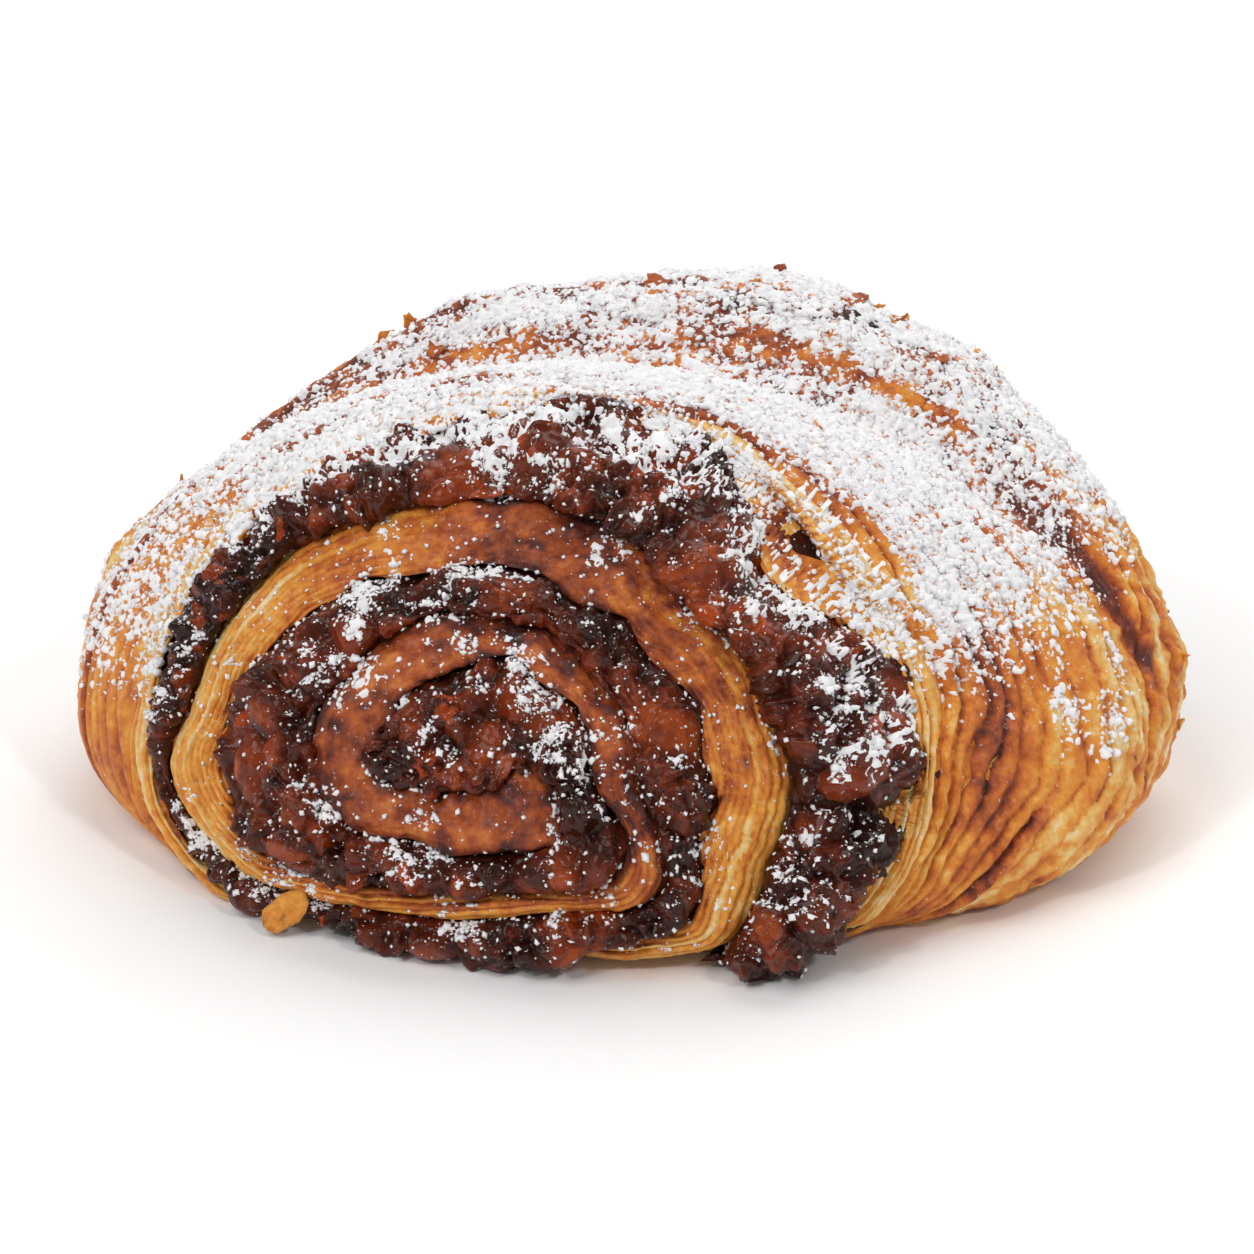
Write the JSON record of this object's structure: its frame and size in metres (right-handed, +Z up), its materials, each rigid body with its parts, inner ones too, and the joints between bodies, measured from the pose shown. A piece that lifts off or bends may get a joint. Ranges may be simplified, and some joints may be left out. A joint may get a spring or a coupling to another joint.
{
  "type": "cinnamon pastry",
  "caption": "Rolled laminated pastry pressed across the top, with a dark cinnamon swirl at both ends and a dusting of icing sugar.",
  "frame": {"origin": "middle of the bounding box's underside, where the pastry rests on the table", "axes": "+X to the right of the shown swirl, +Y along the roll away from the shown swirl, +Z up"},
  "size_m": [0.1224, 0.103, 0.0546],
  "materials": {
    "dough": "baked, golden to chestnut brown, satin",
    "cinnamon_filling": "dark caramelised cinnamon sugar, glossy lumps"
  },
  "bodies": {
    "root": {"dough": "dough", "cinnamon_filling": "cinnamon_filling"}
  },
  "joints": []
}
